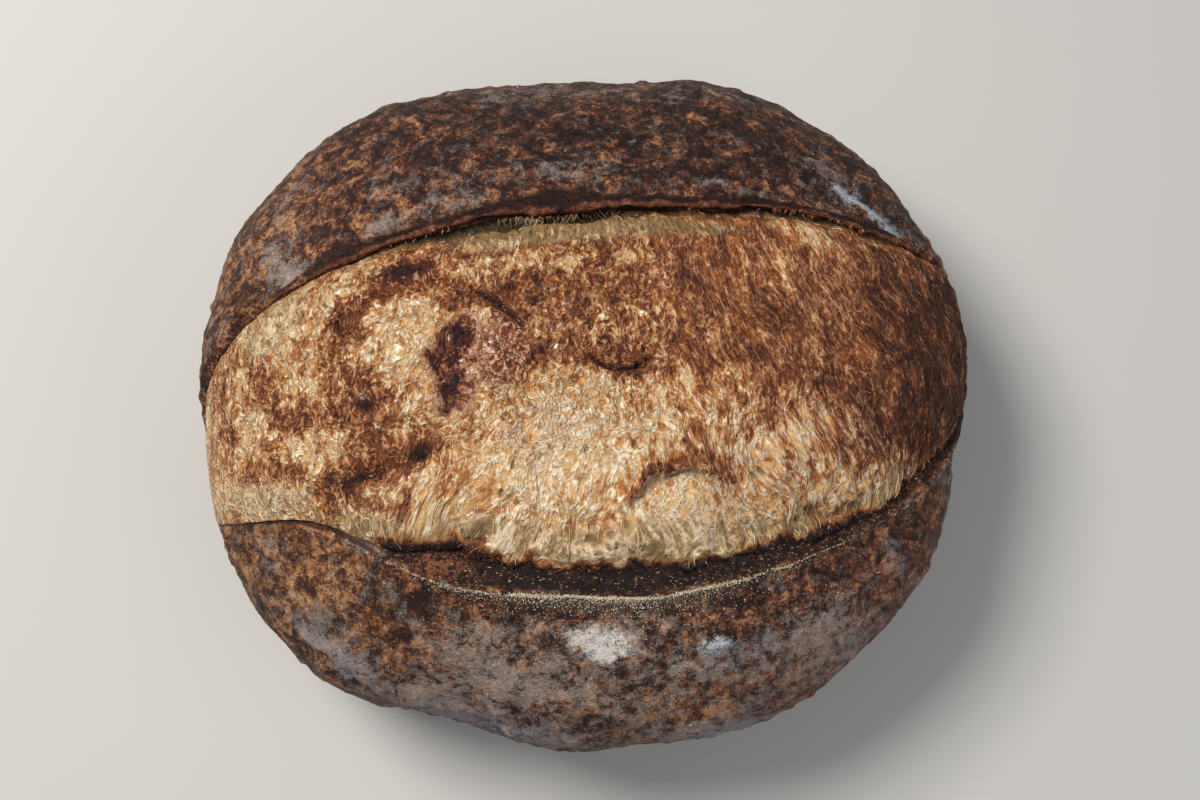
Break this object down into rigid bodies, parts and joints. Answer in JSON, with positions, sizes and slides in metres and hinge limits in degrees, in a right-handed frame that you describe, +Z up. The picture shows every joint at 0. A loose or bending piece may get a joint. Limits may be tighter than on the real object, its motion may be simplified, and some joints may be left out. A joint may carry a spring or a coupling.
{
  "type": "round sourdough loaf",
  "caption": "Round hearth-baked loaf with a domed, floured dark crust, a wide opened score between a lifted back lip and a browned front ledge, and a flat base.",
  "frame": {"origin": "middle of the bounding box's bottom, on the flat base that the loaf stands on", "axes": "+X along the opened score, +Y towards the lifted back lip, +Z up from the base to the top of the dome"},
  "size_m": [0.2304, 0.2032, 0.1072],
  "materials": {
    "crust": "baked crust, mottled umber to chestnut with golden flanks and dusted flour, mostly matte with a faint sheen",
    "crumb": "opened crumb inside the score, golden tan with browned patches, fibrous and porous, with small waxy glints",
    "char": "nearly black burnt edge along the score, dry and crackled",
    "flour": "dry grey-white flour grains, fully matte"
  },
  "bodies": {
    "root": {"loaf": "crust"}
  },
  "joints": []
}
